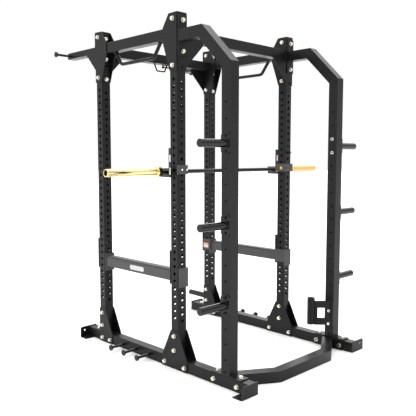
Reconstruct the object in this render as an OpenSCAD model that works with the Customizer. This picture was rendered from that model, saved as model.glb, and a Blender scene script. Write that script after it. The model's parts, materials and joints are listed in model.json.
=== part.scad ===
// Power cage with storage posts, racking cups, swing-away safeties and a barbell.
// Axes: +X from the near side to the far side, +Y from the storage posts to the front
// uprights, +Z up. The origin is on the floor under the middle of the whole model.

/* [Cage] */
// Distance between the near and far upright axes
cage_w = 1147; // [1100:1:1200]
// Distance between the rear and front upright axes
cage_d = 855; // [800:1:950]
// Distance from the rear upright axes back to the storage post axes
storage_d = 477.5; // [450:0.5:520]
// Overall height
cage_h = 2390; // [2385:1:2400]
// Distance from the rear upright axes to the front tips of the stubs
front_reach = 1295; // [1250:1:1350]
// Distance from the rear upright axes to the back of the rear floor brackets
rear_reach = 684; // [670:1:700]

/* [Tube and plate] */
// Side of the square tube
tube_w = 75; // [75:1:76]
// Wall of the square tube
tube_wall = 3; // [2:0.5:4]
// Outer corner radius of the square tube
tube_corner = 6; // [5:1:8]
// Thickness of gusset plates
plate_t = 6; // [5:0.5:8]
// Thickness of bolted end plates
end_plate_t = 8; // [6:1:10]

/* [Adjustment holes] */
// Diameter of the upright holes
hole_d = 23.5; // [21:0.5:24]
// Spacing of the upright holes
hole_pitch = 50; // [50:1:51]
// Number of holes in one row of an upright
hole_count = 33; // [20:1:33]
// Height of the lowest hole in the side faces
side_hole_z = 360; // [350:1:365]
// Height of the lowest hole in the front and back faces
face_hole_z = 335; // [330:1:340]
// Diameter of the storage post holes
post_hole_d = 13; // [12.5:0.5:14]
// Spacing of the storage post holes
post_hole_pitch = 100; // [100:1:101]

/* [Top frame] */
// Underside of the side beams
side_beam_z = 2224; // [2220:1:2226]
// Underside of the cross beams
cross_beam_z = 2214.5; // [2212:0.5:2218]
// Underside of the front stubs
stub_z = 2235; // [2232:1:2240]
// Height of the front stub tube
stub_h = 50; // [40:1:60]

/* [Storage posts] */
// Centre height of the storage posts' top arms
post_arm_z = 2237.5; // [2230:0.5:2240]
// Length of each 45 degree corner, across and down
post_corner = 228; // [200:1:240]
// Heights of the storage horns
horn_z = [532, 1032, 1532];
// Reach of a horn from the post axis
horn_reach = 262; // [200:1:300]
// Diameter of a horn
horn_d = 50; // [48:0.5:50]
// Height of the single horn on the far front upright
front_horn_z = 157; // [155:1:160]

/* [Pegs and grips] */
// Distances of the base band pegs from the rear upright axes
peg_y = [270, 425, 580];
// Height of the base band pegs
peg_z = 37.5; // [35:0.5:40]
// Distance of the peg knobs from the tube axis
peg_reach = 158; // [140:1:170]
// Diameter of the side grips
grip_d = 25; // [22:1:32]
// Diameter of the centre loop
loop_d = 12; // [10:1:16]

/* [Racking cups and safeties] */
// Height of the cup pins
cup_pin_z = 1485; // [1485]
// Height of the safety pivot pins
safety_pin_z = 785; // [785]
// Diameter of cup and safety pins
pin_d = 20; // [19:0.5:20]
// Gap between the swinging safeties and the uprights
swing_gap = 0.8; // [0.5:0.1:1.5]

/* [Barbell] */
// Overall length of the bar
bar_l = 2200; // [2000:10:2200]
// Length of the grip between the collars
bar_grip_l = 1310; // [1300:1:1320]
// Diameter of the grip shaft
bar_d = 28; // [25:1:29]
// Diameter of the sleeves
sleeve_d = 50; // [48:0.5:50]
// Diameter of the collars
collar_d = 72; // [60:1:80]
// Distance of the bar axis in front of the rear upright axes
bar_y = 84; // [80:1:90]

/* [Hidden] */

half = tube_w / 2;
near_x = -cage_w / 2;
rear_y = -(front_reach - rear_reach) / 2;
front_y = rear_y + cage_d;
post_y = rear_y - storage_d;
cap_t = 3;
plate_face = half + plate_t;
end_face = plate_face + end_plate_t;
safe = 1;
round_fn = 48;

// Bolt sizes: shank, washer, socket head and nut
m16 = [16, 30, 3, 25, 10];
m12 = [12, 24, 2.5, 19, 8];
bolt_bite = 24;
nut_af = [24, 18];

black = [0.09, 0.09, 0.1];
charcoal = [0.25, 0.26, 0.27];
zinc = [0.78, 0.74, 0.6];
ivory = [0.86, 0.82, 0.72];
gold = [0.85, 0.68, 0.25];
rubber = [0.05, 0.05, 0.05];

// ---------- placement ----------

// Origin on the upright axis of one side, with +X pointing into the cage
module on_side(side) {
  mirror([side > 0 ? 1 : 0, 0, 0])
    translate([near_x, 0, 0])
      children();
}

// ---------- shared shapes ----------

module rounded_rect(w, h, r) {
  square([w - 2 * r, h], center = true);
  square([w, h - 2 * r], center = true);
  for (sx = [-1, 1], sy = [-1, 1])
    translate([sx * (w / 2 - r), sy * (h / 2 - r)])
      circle(r, $fn = 24);
}

// Hollow box section standing on the XY plane
module box_tube(length, w = tube_w, h = tube_w) {
  linear_extrude(length)
    difference() {
      rounded_rect(w, h, tube_corner);
      rounded_rect(w - 2 * tube_wall, h - 2 * tube_wall, tube_corner - tube_wall);
    }
}

// Box section along +Y, starting at the origin
module box_tube_y(length, w = tube_w, h = tube_w) {
  rotate([-90, 0, 0])
    box_tube(length, w, h);
}

// Through hole along X, centred on the tube axis
module hole_x(y, z, d, length = tube_w + 2 * safe) {
  translate([0, y, z])
    rotate([0, 90, 0])
      cylinder(h = length, d = d, center = true, $fn = round_fn);
}

// Through hole along Y, centred on the tube axis
module hole_y(x, z, d, length = tube_w + 2 * safe) {
  translate([x, 0, z])
    rotate([90, 0, 0])
      cylinder(h = length, d = d, center = true, $fn = round_fn);
}

// Plate drawn in the YZ plane, from x to x + t
module plate_yz(x, t = plate_t) {
  translate([x, 0, 0])
    rotate([90, 0, 90])
      linear_extrude(t)
        children();
}

// Plate drawn in the XZ plane, from y to y + t
module plate_xz(y, t = plate_t) {
  translate([0, y + t, 0])
    rotate([90, 0, 0])
      linear_extrude(t)
        children();
}

// Points beside a polyline at distance d, with mitred corners
function unit(v) = v / norm(v);
function turned(v) = [-v[1], v[0]];
function beside(pts, d) = [
  for (i = [0 : len(pts) - 1])
    let (
      a = unit(pts[max(i, 1)] - pts[max(i, 1) - 1]),
      last = len(pts) - 1,
      b = unit(pts[min(i, last - 1) + 1] - pts[min(i, last - 1)]),
      n = unit(turned(a) + turned(b))
    )
    pts[i] + n * d / (n * turned(a))
];
function reversed(pts) = [for (i = [len(pts) - 1 : -1 : 0]) pts[i]];

// Band of a given width around a polyline
module band(pts, w) {
  polygon(concat(beside(pts, w / 2), reversed(beside(pts, -w / 2))));
}

// Mitred box section that follows a polyline in the XY plane
module bent_tube(pts) {
  difference() {
    translate([0, 0, -half])
      linear_extrude(tube_w)
        band(pts, tube_w);
    translate([0, 0, tube_wall - half])
      linear_extrude(tube_w - 2 * tube_wall)
        band(pts, tube_w - 2 * tube_wall);
  }
}

// Smooth path: a polyline with each inner corner rounded to radius r
bend_steps = 6;
function bend_turn(pts, i) =
  let (
    a = unit(pts[i] - pts[i - 1]),
    b = unit(pts[i + 1] - pts[i])
  )
  atan2(a[0] * b[1] - a[1] * b[0], a * b);
function bend_arc(pts, i, r) =
  let (
    dir = unit(pts[i] - pts[i - 1]),
    turn = bend_turn(pts, i),
    side = sign(turn),
    centre = pts[i] - dir * r * tan(abs(turn) / 2) + turned(dir) * side * r,
    start = atan2(-side * turned(dir)[1], -side * turned(dir)[0])
  )
  [for (k = [0 : bend_steps]) centre + r * [cos(start + turn * k / bend_steps), sin(start + turn * k / bend_steps)]];
function smooth_path(pts, r) = concat(
  [pts[0]],
  [for (i = [1 : len(pts) - 2]) each bend_arc(pts, i, r)],
  [pts[len(pts) - 1]]
);

// Round rod along a smooth path in the XY plane; both ends are cut level at y = end_y
rod_sides = 20;
module bent_rod(pts, d, bend_r, end_y) {
  path = smooth_path(pts, bend_r);
  last = len(path) - 1;
  rings = [
    for (i = [0 : last])
      let (
        a = unit(path[max(i, 1)] - path[max(i, 1) - 1]),
        b = unit(path[min(i, last - 1) + 1] - path[min(i, last - 1)]),
        t = unit(a + b),
        n = turned(t)
      )
      for (k = [0 : rod_sides - 1])
        let (
          across = path[i] + n * d / 2 * cos(360 * k / rod_sides),
          slide = i == 0 || i == last ? (end_y - across[1]) / t[1] : 0,
          p = across + t * slide
        )
        [p[0], p[1], d / 2 * sin(360 * k / rod_sides)]
  ];
  sides = [
    for (i = [0 : last - 1], k = [0 : rod_sides - 1])
      let (m = (k + 1) % rod_sides)
      [i * rod_sides + k, i * rod_sides + m, (i + 1) * rod_sides + m, (i + 1) * rod_sides + k]
  ];
  start_cap = [for (k = [rod_sides - 1 : -1 : 0]) k];
  end_cap = [for (k = [0 : rod_sides - 1]) last * rod_sides + k];
  polyhedron(rings, concat([start_cap], sides, [end_cap]));
}

// ---------- fasteners ----------

// Washer and socket head above the XY plane, shank and nut below it
module bolt(size, grip, af, nut = true) {
  head_z = size[2];
  cylinder(h = head_z, d = size[1], $fn = round_fn);
  translate([0, 0, head_z])
    difference() {
      cylinder(h = size[4], d = size[3], $fn = round_fn);
      translate([0, 0, size[4] / 2])
        cylinder(h = size[4], d = size[0] * 0.95, $fn = 6);
    }
  translate([0, 0, -grip])
    cylinder(h = grip + safe, d = size[0], $fn = round_fn);
  if (nut)
    translate([0, 0, -grip])
      cylinder(h = size[0] * 0.7, d = af / cos(30), $fn = 6);
}

// Short bolt that enters a face at x and points along -X or +X
module bolt_x(x, y, z, side) {
  translate([x, y, z])
    rotate([0, 90 * side, 0])
      bolt(m16, bolt_bite, nut_af[0]);
}

// Short bolt that enters a face at y and points along -Y or +Y
module bolt_y(x, y, z, side, bite = bolt_bite) {
  translate([x, y, z])
    rotate([-90 * side, 0, 0])
      bolt(m16, bite, nut_af[0]);
}

// Nut and washer on a face at x, facing along X
module nut_x(x, y, z, side, size, af) {
  translate([x, y, z])
    rotate([0, 90 * side, 0])
      difference() {
        union() {
          cylinder(h = size[2], d = size[1], $fn = round_fn);
          translate([0, 0, size[2]])
            cylinder(h = size[0] * 0.8, d = af / cos(30), $fn = 6);
        }
        translate([0, 0, -safe])
          cylinder(h = size[0] * 2, d = size[0] + 0.1, $fn = round_fn);
      }
}

// ---------- uprights ----------

top_side_bolt_z = [2050, 2350];
foot_bolt_z = [130, 230];
rear_face_bolt_z = [2138, 2338];
rear_face_hole_z = 2036;
front_face_bolt_z = [2037, 2187, 2337];
front_face_hole_z = 2137;
bolt_hole_d = m16[0] + 1;

module upright(side, y, face_bolts, face_hole, horn = false) {
  color(black)
    on_side(side)
      translate([0, y, 0])
        difference() {
          translate([0, 0, tube_w])
            box_tube(cage_h - cap_t - tube_w);
          for (i = [0 : hole_count - 1]) {
            hole_x(0, side_hole_z + i * hole_pitch, hole_d);
            hole_y(0, face_hole_z + i * hole_pitch, hole_d);
          }
          for (z = concat(foot_bolt_z, top_side_bolt_z))
            hole_x(0, z, bolt_hole_d);
          for (z = face_bolts)
            hole_y(0, z, bolt_hole_d);
          hole_y(0, face_hole, bolt_hole_d);
          if (horn)
            for (dz = [-horn_bolt_dz, horn_bolt_dz])
              hole_y(0, front_horn_z + dz, post_hole_d);
        }
}

module upright_caps() {
  color(black)
    for (side = [-1, 1], y = [rear_y, front_y])
      on_side(side)
        translate([0, y, cage_h - cap_t])
          linear_extrude(cap_t)
            rounded_rect(tube_w, tube_w, tube_corner);
}

// ---------- base ----------

rail_start = rear_y - rear_reach + plate_t;
rail_l = 1738;
foot_half = 130;
foot_top = 265;
foot_bolt_y = 101;
rear_foot_bolt_y = [rear_y - foot_bolt_y, rear_y + foot_bolt_y];
front_foot_bolt_y = [front_y - foot_bolt_y, front_y];
rail_bolt_y = front_y + 109;
rail_bolt_z = 32;
post_bolt_y = [-98, 100];
cross_bolt_y = [-98, 104];
cross_bolt_z = 36;
peg_d = 20;
stud_d = 12;

module base_rail(side) {
  color(black)
    on_side(side)
      difference() {
        translate([0, rail_start, half])
          box_tube_y(rail_l);
        for (y = peg_y) {
          translate([-half, rear_y + y, peg_z])
            rotate([0, 90, 0])
              cylinder(h = 2 * tube_corner, d = peg_d + 0.6, center = true, $fn = round_fn);
          translate([half, rear_y + y, peg_z])
            rotate([0, 90, 0])
              cylinder(h = 2 * tube_corner, d = stud_d + 2, center = true, $fn = round_fn);
        }
        for (y = cross_bolt_y)
          hole_x(post_y + y, cross_bolt_z, bolt_hole_d);
        for (y = concat(rear_foot_bolt_y, front_foot_bolt_y))
          hole_x(y, rail_bolt_z, bolt_hole_d);
        for (y = concat([for (dy = post_bolt_y) post_y + dy], [rail_bolt_y]))
          translate([0, y, tube_w])
            cylinder(h = 4 * tube_wall, d = bolt_hole_d, center = true, $fn = round_fn);
      }
}

module foot_gusset_outline(front_edge, rail_bolts) {
  difference() {
    polygon([
      [-foot_half, 0], [front_edge, 0], [front_edge, tube_w], [half, foot_top],
      [-half, foot_top], [-foot_half, tube_w]
    ]);
    for (z = foot_bolt_z)
      translate([0, z])
        circle(d = bolt_hole_d, $fn = round_fn);
    for (y = rail_bolts)
      translate([y, rail_bolt_z])
        circle(d = bolt_hole_d, $fn = round_fn);
  }
}

module foot_gussets(side) {
  color(black)
    on_side(side)
      for (x = [-plate_face, half]) {
        translate([0, rear_y, 0])
          plate_yz(x)
            foot_gusset_outline(foot_half, [-foot_bolt_y, foot_bolt_y]);
        translate([0, front_y, 0])
          plate_yz(x)
            foot_gusset_outline(half, [-foot_bolt_y, 0]);
      }
}

anchor_hole_d = 14;
bracket_reach = 75;
bracket_h = 82;
bracket_l = 72;

// Bracket at one end of a rail; toward is +1 when the cage lies along +Y
module floor_bracket(side, y, toward) {
  color(black)
    on_side(side)
      translate([0, y, 0])
        mirror([0, toward < 0 ? 1 : 0, 0]) {
          plate_xz(-plate_t)
            difference() {
              union() {
                translate([-half - bracket_reach, 0])
                  square([tube_w + bracket_reach, bracket_h - tube_w / 4]);
                translate([-half - bracket_reach + tube_w / 4, 0])
                  square([tube_w * 3 / 4 + bracket_reach, bracket_h]);
                translate([-half - bracket_reach + tube_w / 4, bracket_h - tube_w / 4])
                  circle(tube_w / 4, $fn = round_fn);
              }
              translate([-half - bracket_reach / 2, bracket_h * 0.63])
                circle(d = anchor_hole_d, $fn = round_fn);
            }
          difference() {
            translate([-half - bracket_reach, 0, 0])
              cube([bracket_reach, bracket_l, plate_t]);
            translate([-half - bracket_reach / 2, bracket_l / 2, -safe])
              cylinder(h = plate_t + 2 * safe, d = anchor_hole_d, $fn = round_fn);
          }
          translate([-half - bracket_reach, -plate_t, 0])
            cube([bracket_reach, plate_t, plate_t]);
        }
}

cross_mid_y = post_y - 150;
cross_mid_half = 275;
cross_plate_y = [-122.5, 127.5];

cross_leg_y = post_y + 10.5;

// The legs run on past the end plates, and are cut flush with them
module base_cross_member() {
  cross_end_x = -near_x - half - end_plate_t / 2;
  leg_slope = (cross_leg_y - cross_mid_y) / (cross_end_x - cross_mid_half);
  leg_x = cross_end_x + tube_w;
  leg_y = cross_leg_y + tube_w * leg_slope;
  color(black)
    difference() {
      union() {
        intersection() {
          translate([0, 0, half])
            bent_tube([
              [-leg_x, leg_y], [-cross_mid_half, cross_mid_y],
              [cross_mid_half, cross_mid_y], [leg_x, leg_y]
            ]);
          translate([-cross_end_x, post_y - cage_d / 2, -safe])
            cube([2 * cross_end_x, cage_d, tube_w + 2 * safe]);
        }
        for (side = [-1, 1])
          on_side(side)
            plate_yz(half, end_plate_t)
              translate([post_y + cross_plate_y[0], 0])
                square([cross_plate_y[1] - cross_plate_y[0], tube_w]);
      }
      for (side = [-1, 1], y = cross_bolt_y)
        on_side(side)
          translate([half, 0, 0])
            hole_x(post_y + y, cross_bolt_z, bolt_hole_d, 4 * end_plate_t);
    }
}

// ---------- top frame ----------

module side_beam(side) {
  color(black)
    on_side(side)
      translate([0, rear_y + half, side_beam_z + half])
        box_tube_y(cage_d - tube_w);
}

module kite_outline() {
  difference() {
    polygon([
      [-half, 2015], [33, 2015], [104, 2215], [104, 2298], [42, cage_h - 2],
      [-half, cage_h]
    ]);
    for (z = top_side_bolt_z)
      translate([0, z])
        circle(d = bolt_hole_d, $fn = round_fn);
  }
}

module kite_plates(side) {
  color(black)
    on_side(side)
      for (x = [-plate_face, half]) {
        translate([0, rear_y, 0])
          plate_yz(x)
            kite_outline();
        translate([0, front_y, 0])
          plate_yz(x)
            mirror([1, 0])
              kite_outline();
      }
}

module cross_beam(y) {
  color(black)
    translate([near_x + plate_face, y, cross_beam_z + half])
      rotate([0, 90, 0])
        box_tube(cage_w - 2 * plate_face);
}

corner_reach = 195;

module corner_outline(face_bolts, face_hole) {
  difference() {
    polygon([
      [-half, 2015], [half, 2040], [corner_reach, 2197], [corner_reach, 2217], [44, 2217],
      [44, 2383], [half, cage_h], [-half, cage_h]
    ]);
    for (z = concat(face_bolts, [face_hole]))
      translate([0, z])
        circle(d = bolt_hole_d, $fn = round_fn);
  }
}

hang_d = 12;
hang_knob_d = 23;
hang_knob_x = 58;
hang_z = 2204;
hang_weld = 25;

// Thin peg with a ball end, welded to the tip of the far front corner plate
module hanging_peg() {
  translate([hang_knob_x, front_y + half + plate_t / 2, hang_z]) {
    rotate([0, 90, 0])
      cylinder(h = -near_x - corner_reach - hang_knob_x + hang_weld, d = hang_d, $fn = round_fn);
    sphere(d = hang_knob_d, $fn = round_fn);
  }
}

module corner_plates() {
  color(black)
    for (side = [-1, 1])
      on_side(side) {
        plate_xz(rear_y - plate_face)
          corner_outline(rear_face_bolt_z, rear_face_hole_z);
        plate_xz(front_y + half)
          corner_outline(front_face_bolt_z, front_face_hole_z);
      }
  color(black)
    hanging_peg();
}

stub_plate_z = [2114, 2388];
stub_gusset_y = 163;

module front_stub(side) {
  stub_start = front_y + end_face;
  stub_l = rear_y + front_reach - stub_start;
  color(black)
    on_side(side) {
      difference() {
        translate([0, stub_start, stub_z + stub_h / 2])
          box_tube_y(stub_l, tube_w, stub_h);
        translate([-half, rear_y + stub_peg_y, stub_z + stub_h / 2])
          rotate([0, 90, 0])
            cylinder(h = 2 * tube_corner, d = peg_d + 0.6, center = true, $fn = round_fn);
      }
      plate_xz(front_y + plate_face, end_plate_t)
        difference() {
          translate([-half, stub_plate_z[0]])
            square([tube_w, stub_plate_z[1] - stub_plate_z[0]]);
          for (z = [front_face_hole_z, front_face_bolt_z[1], front_face_bolt_z[2]])
            translate([0, z])
              circle(d = bolt_hole_d, $fn = round_fn);
        }
      for (x = [-half, half - plate_t])
        translate([0, front_y, 0])
          plate_yz(x)
            polygon([
              [end_face - safe, stub_plate_z[0]], [stub_gusset_y, stub_z - 3],
              [stub_gusset_y, stub_z + 2 * tube_corner], [end_face - safe, stub_z + 2 * tube_corner]
            ]);
    }
}

// ---------- storage posts ----------

post_foot_z = tube_w + end_plate_t;
post_top_plate_z = [2108, 2368];
post_foot_y = [-128, 130];
post_hole_z = concat([103], [for (i = [0 : 16]) 182 + i * post_hole_pitch]);

module storage_post(side) {
  color(black)
    on_side(side) {
      difference() {
        rotate([90, 0, 90])
          bent_tube([
            [rear_y - end_face, post_arm_z],
            [post_y + post_corner, post_arm_z],
            [post_y, post_arm_z - post_corner],
            [post_y, post_foot_z]
          ]);
        for (z = post_hole_z)
          hole_x(post_y, z, post_hole_d);
      }
      plate_xz(rear_y - end_face, end_plate_t)
        difference() {
          translate([-half, post_top_plate_z[0]])
            square([tube_w, post_top_plate_z[1] - post_top_plate_z[0]]);
          for (z = rear_face_bolt_z)
            translate([0, z])
              circle(d = bolt_hole_d, $fn = round_fn);
        }
      translate([0, post_y, tube_w])
        linear_extrude(end_plate_t)
          difference() {
            translate([-half, post_foot_y[0]])
              square([tube_w, post_foot_y[1] - post_foot_y[0]]);
            for (y = post_bolt_y)
              translate([0, y])
                circle(d = bolt_hole_d, $fn = round_fn);
          }
    }
}

horn_plate_h = 134;
horn_plate_chamfer = 16;
horn_ring_d = 68;
horn_bolt_dz = 50;
horn_wall = 4;
horn_cap_t = 10;
horn_plug_l = 15;

// Upright plate with cut corners, centred on the origin
module chamfered_plate(w, h, c) {
  polygon([
    [-w / 2 + c, -h / 2], [w / 2 - c, -h / 2], [w / 2, -h / 2 + c],
    [w / 2, h / 2 - c], [w / 2 - c, h / 2], [-w / 2 + c, h / 2],
    [-w / 2, h / 2 - c], [-w / 2, -h / 2 + c]
  ]);
}

// Horn along -X, with the tube axis of its post or upright at the origin
module horn() {
  plate_yz(-plate_face)
    difference() {
      chamfered_plate(tube_w, horn_plate_h, horn_plate_chamfer);
      for (dz = [-horn_bolt_dz, horn_bolt_dz])
        translate([0, dz])
          circle(d = post_hole_d, $fn = round_fn);
    }
  translate([-plate_face, 0, 0])
    rotate([0, -90, 0])
      difference() {
        union() {
          cylinder(h = plate_t, d = horn_ring_d, $fn = round_fn);
          cylinder(h = horn_reach - plate_face - horn_cap_t, d = horn_d, $fn = round_fn);
        }
        translate([0, 0, plate_t])
          cylinder(h = horn_reach, d = horn_d - 2 * horn_wall, $fn = round_fn);
      }
}

// Places a horn or its cap at each spot on one post
module at_horns(side) {
  on_side(side)
    for (z = horn_z)
      translate([0, post_y, z])
        children();
}

// Places a horn or its cap on the front face of the far front upright
module at_front_horn() {
  on_side(1)
    translate([0, front_y, front_horn_z])
      rotate([0, 0, -90])
        children();
}

module storage_horns(side) {
  color(black)
    at_horns(side)
      horn();
}

module front_horn() {
  color(black)
    at_front_horn()
      horn();
}

module horn_cap() {
  translate([horn_cap_t - horn_reach, 0, 0])
    rotate([0, -90, 0]) {
      cylinder(h = horn_cap_t * 0.7, d = horn_d, $fn = round_fn);
      translate([0, 0, horn_cap_t * 0.7])
        cylinder(h = horn_cap_t * 0.3, d1 = horn_d, d2 = horn_d - 5, $fn = round_fn);
      translate([0, 0, -horn_plug_l])
        cylinder(h = horn_plug_l, d = horn_d - 2 * horn_wall, $fn = round_fn);
    }
}

module horn_caps() {
  color(rubber) {
    for (side = [-1, 1])
      at_horns(side)
        horn_cap();
    at_front_horn()
      horn_cap();
  }
}

// ---------- bar holder ----------

holder_at = [136, 98];
holder_d = 57;
holder_bore = 51;
holder_z = [180, 380];
holder_plate_z = [166, 364];
holder_arm_z = [172, 359];
holder_window = [61, 77];
holder_bolt_z = [182, 282];

module bar_holder() {
  arm_turn = atan2(holder_at[1], holder_at[0] - plate_face);
  arm_l = norm(holder_at - [plate_face, 0]) - holder_d / 2 + 2;
  arm_h = holder_arm_z[1] - holder_arm_z[0];
  color(black)
    on_side(1)
      translate([0, post_y, 0]) {
        plate_yz(half)
          difference() {
            translate([0, (holder_plate_z[0] + holder_plate_z[1]) / 2])
              chamfered_plate(tube_w, holder_plate_z[1] - holder_plate_z[0], 10);
            for (z = holder_bolt_z)
              translate([0, z])
                circle(d = post_hole_d, $fn = round_fn);
          }
        difference() {
          translate([plate_face, 0, holder_arm_z[0]])
            rotate([0, 0, arm_turn])
              translate([0, -plate_t / 2, 0])
                difference() {
                  translate([-plate_t, 0, 0])
                    cube([arm_l + plate_t, plate_t, arm_h]);
                  translate([(arm_l - holder_window[0]) / 2, -safe, (arm_h - holder_window[1]) / 2])
                    cube([holder_window[0], plate_t + 2 * safe, holder_window[1]]);
                }
          translate([-tube_w, -tube_w, 0])
            cube([tube_w + half, 2 * tube_w, cage_h]);
          for (z = holder_bolt_z) {
            hole_x(0, z, post_hole_d, 2 * end_face);
            translate([plate_face, 0, z])
              rotate([0, 90, 0])
                cylinder(h = 12, d = m12[1] + 1, $fn = round_fn);
          }
        }
        translate([holder_at[0], holder_at[1], holder_z[0]])
          difference() {
            cylinder(h = holder_z[1] - holder_z[0], d = holder_d, $fn = 64);
            translate([0, 0, -safe])
              cylinder(h = holder_z[1] - holder_z[0] + 2 * safe, d = holder_bore, $fn = 64);
          }
      }
}

// ---------- pegs and grips ----------

stub_peg_y = 1270;
knob_d = 42;
knob_t = 12;

// Band peg with its knob, pointing along -X from the face of a tube
module peg() {
  rotate([0, -90, 0]) {
    translate([0, 0, half - tube_wall])
      cylinder(h = peg_reach - half + tube_wall, d = peg_d, $fn = round_fn);
    translate([0, 0, peg_reach - knob_t / 2])
      cylinder(h = knob_t, d = knob_d, $fn = round_fn);
  }
}

module band_pegs() {
  color(black)
    for (side = [-1, 1])
      on_side(side) {
        for (y = peg_y)
          translate([0, rear_y + y, peg_z]) {
            peg();
            rotate([0, -90, 0])
              translate([0, 0, -half])
                cylinder(h = tube_w - tube_wall, d = stud_d, $fn = round_fn);
          }
        translate([0, rear_y + stub_peg_y, stub_z + stub_h / 2])
          peg();
      }
}

grip_y = [170, 246, 621, 685];
grip_z = 2128;
grip_bend = 45;

module side_grip(side) {
  color(black)
    on_side(side)
      translate([0, rear_y, 0])
        rotate([90, 0, 90])
          bent_rod([
            [grip_y[0], side_beam_z], [grip_y[1], grip_z],
            [grip_y[2], grip_z], [grip_y[3], side_beam_z]
          ], grip_d, grip_bend, side_beam_z);
}

loop_top = 68;
loop_bottom = 41;
loop_z = 2160;
loop_bend = 16;

module center_loop() {
  color(black)
    translate([0, front_y, 0])
      rotate([90, 0, 0])
        bent_rod([
          [-loop_top, cross_beam_z], [-loop_bottom, loop_z],
          [loop_bottom, loop_z], [loop_top, cross_beam_z]
        ], loop_d, loop_bend, cross_beam_z);
}

// ---------- racking cups ----------

cup_plate_y = [50, 56];
cup_z = [1313, 1510];
cup_arm_z = [1335, 1396];
cup_arm_x = half + 1;
cup_flange_y = half + 5.5;
cup_flange_over = 12;
cup_tray_front = 142;
cup_tray_half = 37;
cup_floor_t = 8;
cup_seat_z = 1336;
cup_lip_z = 1373;
cup_bolt_x = [-11, 33];
cup_bolt_z = 1365;

module cup_bracket(side) {
  color(charcoal)
    on_side(side)
      translate([0, rear_y, 0]) {
        difference() {
          translate([-cup_tray_half, cup_plate_y[0], cup_z[0]])
            cube([cup_tray_half + cup_arm_x + plate_t, plate_t, cup_z[1] - cup_z[0]]);
          translate([0, cup_plate_y[0], 0])
            hole_y(0, cup_pin_z, pin_d);
        }
        translate([cup_arm_x, -cup_flange_y - plate_t, cup_arm_z[0]])
          cube([plate_t, cup_flange_y + plate_t + cup_plate_y[1], cup_arm_z[1] - cup_arm_z[0]]);
        difference() {
          translate([-half - cup_flange_over, -cup_flange_y - plate_t, cup_arm_z[0]])
            cube([half + cup_flange_over + cup_arm_x + plate_t, plate_t, cup_arm_z[1] - cup_arm_z[0]]);
          for (x = cup_bolt_x)
            translate([0, -cup_flange_y, 0])
              hole_y(x, cup_bolt_z, 8.5, 4 * plate_t);
        }
        translate([-cup_tray_half, cup_plate_y[0], cup_z[0]])
          cube([2 * cup_tray_half, cup_tray_front - cup_plate_y[0], cup_floor_t]);
        translate([-cup_tray_half, cup_tray_front - cup_floor_t, cup_z[0]])
          cube([2 * cup_tray_half, cup_floor_t, cup_lip_z - cup_z[0]]);
      }
}

cup_lip_t = 16;

module cup_liners() {
  color(black)
    for (side = [-1, 1])
      on_side(side)
        translate([0, rear_y, 0])
          plate_yz(-cup_tray_half, 2 * cup_tray_half)
            polygon([
              [cup_plate_y[1], cup_z[0] + cup_floor_t],
              [cup_tray_front - cup_floor_t, cup_z[0] + cup_floor_t],
              [cup_tray_front - cup_floor_t, cup_lip_z],
              [cup_tray_front - cup_floor_t - cup_lip_t + 4, cup_lip_z],
              [cup_tray_front - cup_floor_t - cup_lip_t, cup_lip_z - 6],
              [cup_tray_front - cup_floor_t - cup_lip_t, cup_seat_z],
              [cup_plate_y[1], cup_seat_z]
            ]);
}

// Block between the cup plate and the upright's front face
module cup_block(z) {
  for (side = [-1, 1])
    on_side(side)
      translate([-half + 2, rear_y + half, z[0]])
        cube([tube_w - 4, cup_plate_y[0] - half, z[1] - z[0]]);
}

module cup_pads() {
  color(ivory) {
    cup_block([1330, 1379]);
    cup_block([1417, 1464]);
  }
}

module cup_spacers() {
  color(rubber) {
    cup_block([1379, 1417]);
    difference() {
      cup_block([1464, 1510]);
      for (side = [-1, 1])
        on_side(side)
          translate([0, rear_y + half, 0])
            hole_y(0, cup_pin_z, pin_d);
    }
    for (side = [-1, 1])
      on_side(side)
        translate([0, rear_y, 0])
          difference() {
            translate([-half + 2, -cup_flange_y, cup_arm_z[0] + 2])
              cube([tube_w - 4, cup_flange_y - half, cup_arm_z[1] - cup_arm_z[0] - 4]);
            for (x = cup_bolt_x)
              translate([0, -cup_flange_y, 0])
                hole_y(x, cup_bolt_z, 8.5, 4 * plate_t);
          }
  }
}

cup_pin_tip = 28;

module cup_pins() {
  color(black)
    for (side = [-1, 1])
      on_side(side)
        translate([0, rear_y + cup_plate_y[1], cup_pin_z])
          rotate([90, 0, 0]) {
            cylinder(h = cup_plate_y[1] + half + cup_pin_tip - 4, d = pin_d, $fn = round_fn);
            translate([0, 0, cup_plate_y[1] + half + cup_pin_tip - 4])
              cylinder(h = 4, d1 = pin_d, d2 = pin_d - 6, $fn = round_fn);
          }
}

cup_bolt_d = 8;

module cup_bolts() {
  color(zinc)
    for (side = [-1, 1], x = cup_bolt_x)
      on_side(side)
        translate([x, rear_y - cup_flange_y - plate_t, cup_bolt_z])
          rotate([90, 0, 0]) {
            cylinder(h = 5, d = 14, $fn = round_fn);
            translate([0, 0, -plate_t - 4])
              cylinder(h = plate_t + 4, d = cup_bolt_d, $fn = round_fn);
          }
}

// ---------- swing-away safeties ----------

safety_w = 60;
safety_h = 70;
safety_z = 605;
safety_plate_y = [46, 52];
safety_plate_z = [585, 816];
safety_flange_y = 43;
safety_flange_z = [570, 702];
safety_arm_z = [600, 702];
safety_liner_t = 12;
safety_pin_in = 20;

module safety_tube(side) {
  tube_start = rear_y + safety_plate_y[1];
  tube_end = front_y - safety_flange_y - plate_t;
  color(charcoal)
    on_side(side)
      translate([0, tube_start, safety_z + safety_h / 2])
        box_tube_y(tube_end - tube_start, safety_w, safety_h);
}

module safety_liner(side) {
  liner_start = rear_y + safety_plate_y[1] + 8;
  liner_end = front_y - safety_flange_y - plate_t - 8;
  color(rubber)
    on_side(side)
      translate([0, liner_start, safety_z + safety_h + safety_liner_t / 2])
        rotate([-90, 0, 0])
          linear_extrude(liner_end - liner_start)
            rounded_rect(safety_w - 6, safety_liner_t, 3);
}

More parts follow.
